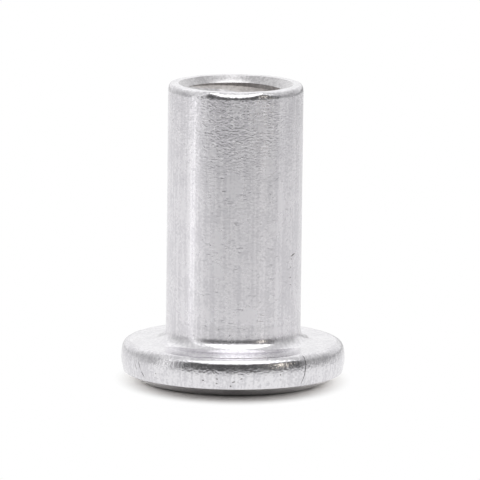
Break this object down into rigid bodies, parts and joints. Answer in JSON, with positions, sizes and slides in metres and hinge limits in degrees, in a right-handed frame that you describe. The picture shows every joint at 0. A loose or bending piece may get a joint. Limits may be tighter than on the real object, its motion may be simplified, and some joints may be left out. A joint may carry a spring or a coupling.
{
  "type": "barrel nut",
  "caption": "Aluminium barrel nut: a round sleeve with a blind threaded hole, a filleted root and a broad flat head that clamps panels.",
  "frame": {"origin": "centre of the head's outer face, which the nut stands on", "axes": "+Z along the barrel axis, from the head to the open end"},
  "size_m": [0.0132, 0.0132, 0.0178],
  "materials": {
    "metal": "bare drawn aluminium, satin"
  },
  "bodies": {
    "root": {"barrel_nut": "metal"}
  },
  "joints": []
}
